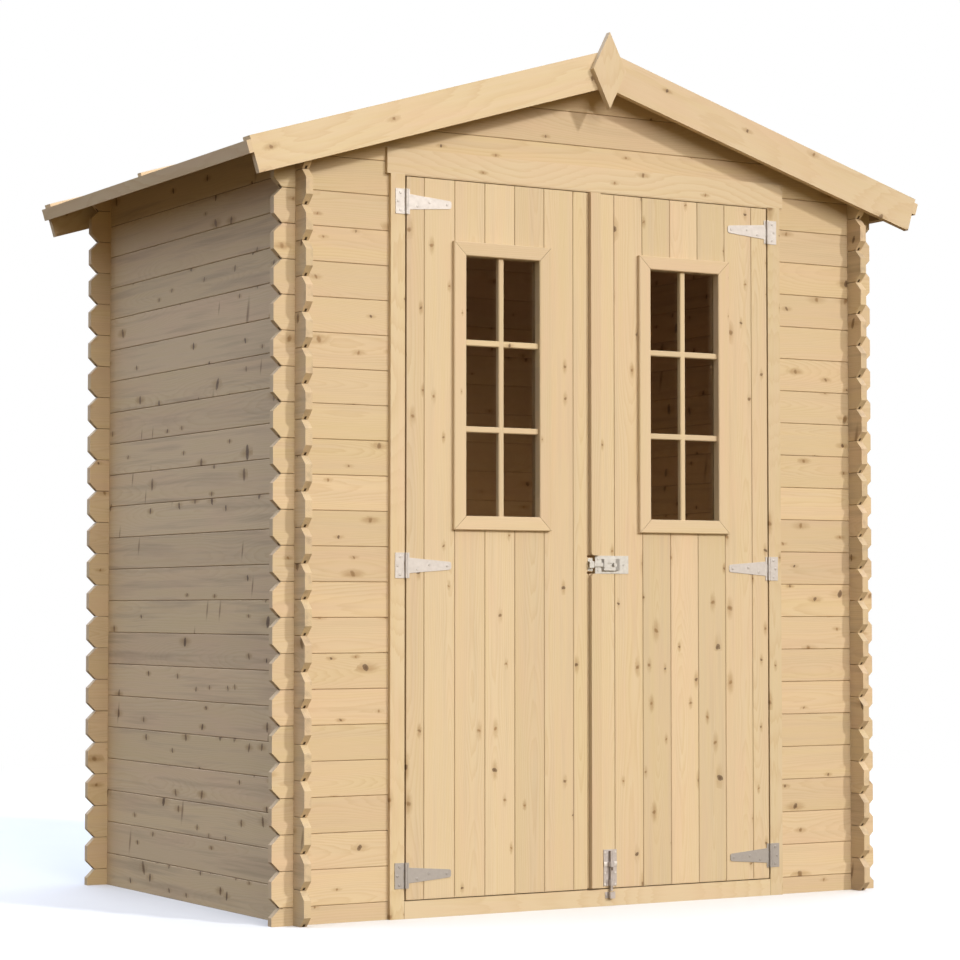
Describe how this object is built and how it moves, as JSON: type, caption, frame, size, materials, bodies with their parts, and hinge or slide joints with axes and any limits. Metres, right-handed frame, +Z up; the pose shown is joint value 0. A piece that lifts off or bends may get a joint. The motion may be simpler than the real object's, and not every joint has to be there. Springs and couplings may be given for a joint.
{
  "type": "garden shed",
  "caption": "Small wooden garden shed of interlocking log boards with a shallow boarded gable roof and a pair of part-glazed boarded doors on long hinges.",
  "frame": {"origin": "on the ground at the middle of the plan", "axes": "+X to the right along the front, +Y to the back, +Z up; the doors face -Y"},
  "size_m": [2.0448, 1.357, 2.2418],
  "materials": {
    "log_boards": "untreated planed softwood",
    "roof_boards": "untreated planed softwood",
    "trim_boards": "untreated planed softwood",
    "door_boards": "untreated planed softwood",
    "window_glass": "clear flat glass over a dark room",
    "zinc_hardware": "bright zinc plated steel"
  },
  "bodies": {
    "shed": {"back_wall": "log_boards", "left_wall": "log_boards", "right_wall": "log_boards", "front_wall_left": "log_boards", "front_wall_right": "log_boards", "front_bottom_log": "log_boards", "front_gable": "log_boards", "left_roof": "roof_boards", "right_roof": "roof_boards", "front_left_barge": "trim_boards", "front_right_barge": "trim_boards", "back_left_barge": "trim_boards", "back_right_barge": "trim_boards", "left_laths": "trim_boards", "right_laths": "trim_boards", "left_fascia": "trim_boards", "right_fascia": "trim_boards", "ridge_beam": "trim_boards", "purlins": "trim_boards", "front_diamond": "trim_boards", "back_diamond": "trim_boards", "left_post": "trim_boards", "right_post": "trim_boards", "head_board": "trim_boards", "threshold": "trim_boards", "left_hinge_plates": "zinc_hardware", "right_hinge_plates": "zinc_hardware", "bolt_keeper": "zinc_hardware"},
    "left_leaf": {"left_door": "door_boards", "left_window_frame": "door_boards", "left_glass": "window_glass", "left_ledges": "door_boards", "keeper_block": "door_boards", "left_hinge_straps": "zinc_hardware", "latch_keeper": "zinc_hardware"},
    "right_leaf": {"right_door": "door_boards", "right_window_frame": "door_boards", "right_glass": "window_glass", "right_ledges": "door_boards", "cover_strip": "door_boards", "right_hinge_straps": "zinc_hardware", "latch_case": "zinc_hardware", "bolt_plate": "zinc_hardware"},
    "slide": {"latch_slide": "zinc_hardware"},
    "rod": {"bolt_rod": "zinc_hardware"}
  },
  "joints": [
    {"name": "left_door_hinge", "type": "hinge", "parent": "shed", "child": "left_leaf", "pos_m": [-0.5535, -0.602, 0.868], "axis": [0, 0, -1], "range_deg": [0, 105]},
    {"name": "right_door_hinge", "type": "hinge", "parent": "shed", "child": "right_leaf", "pos_m": [0.5535, -0.602, 0.868], "axis": [0, 0, 1], "range_deg": [0, 105]},
    {"name": "latch_slide_travel", "type": "slide", "parent": "right_leaf", "child": "slide", "axis": [-1, 0, 0], "range_m": [0, 0.016]},
    {"name": "bolt_rod_travel", "type": "slide", "parent": "right_leaf", "child": "rod", "axis": [0, 0, -1], "range_m": [0, 0.025]}
  ]
}
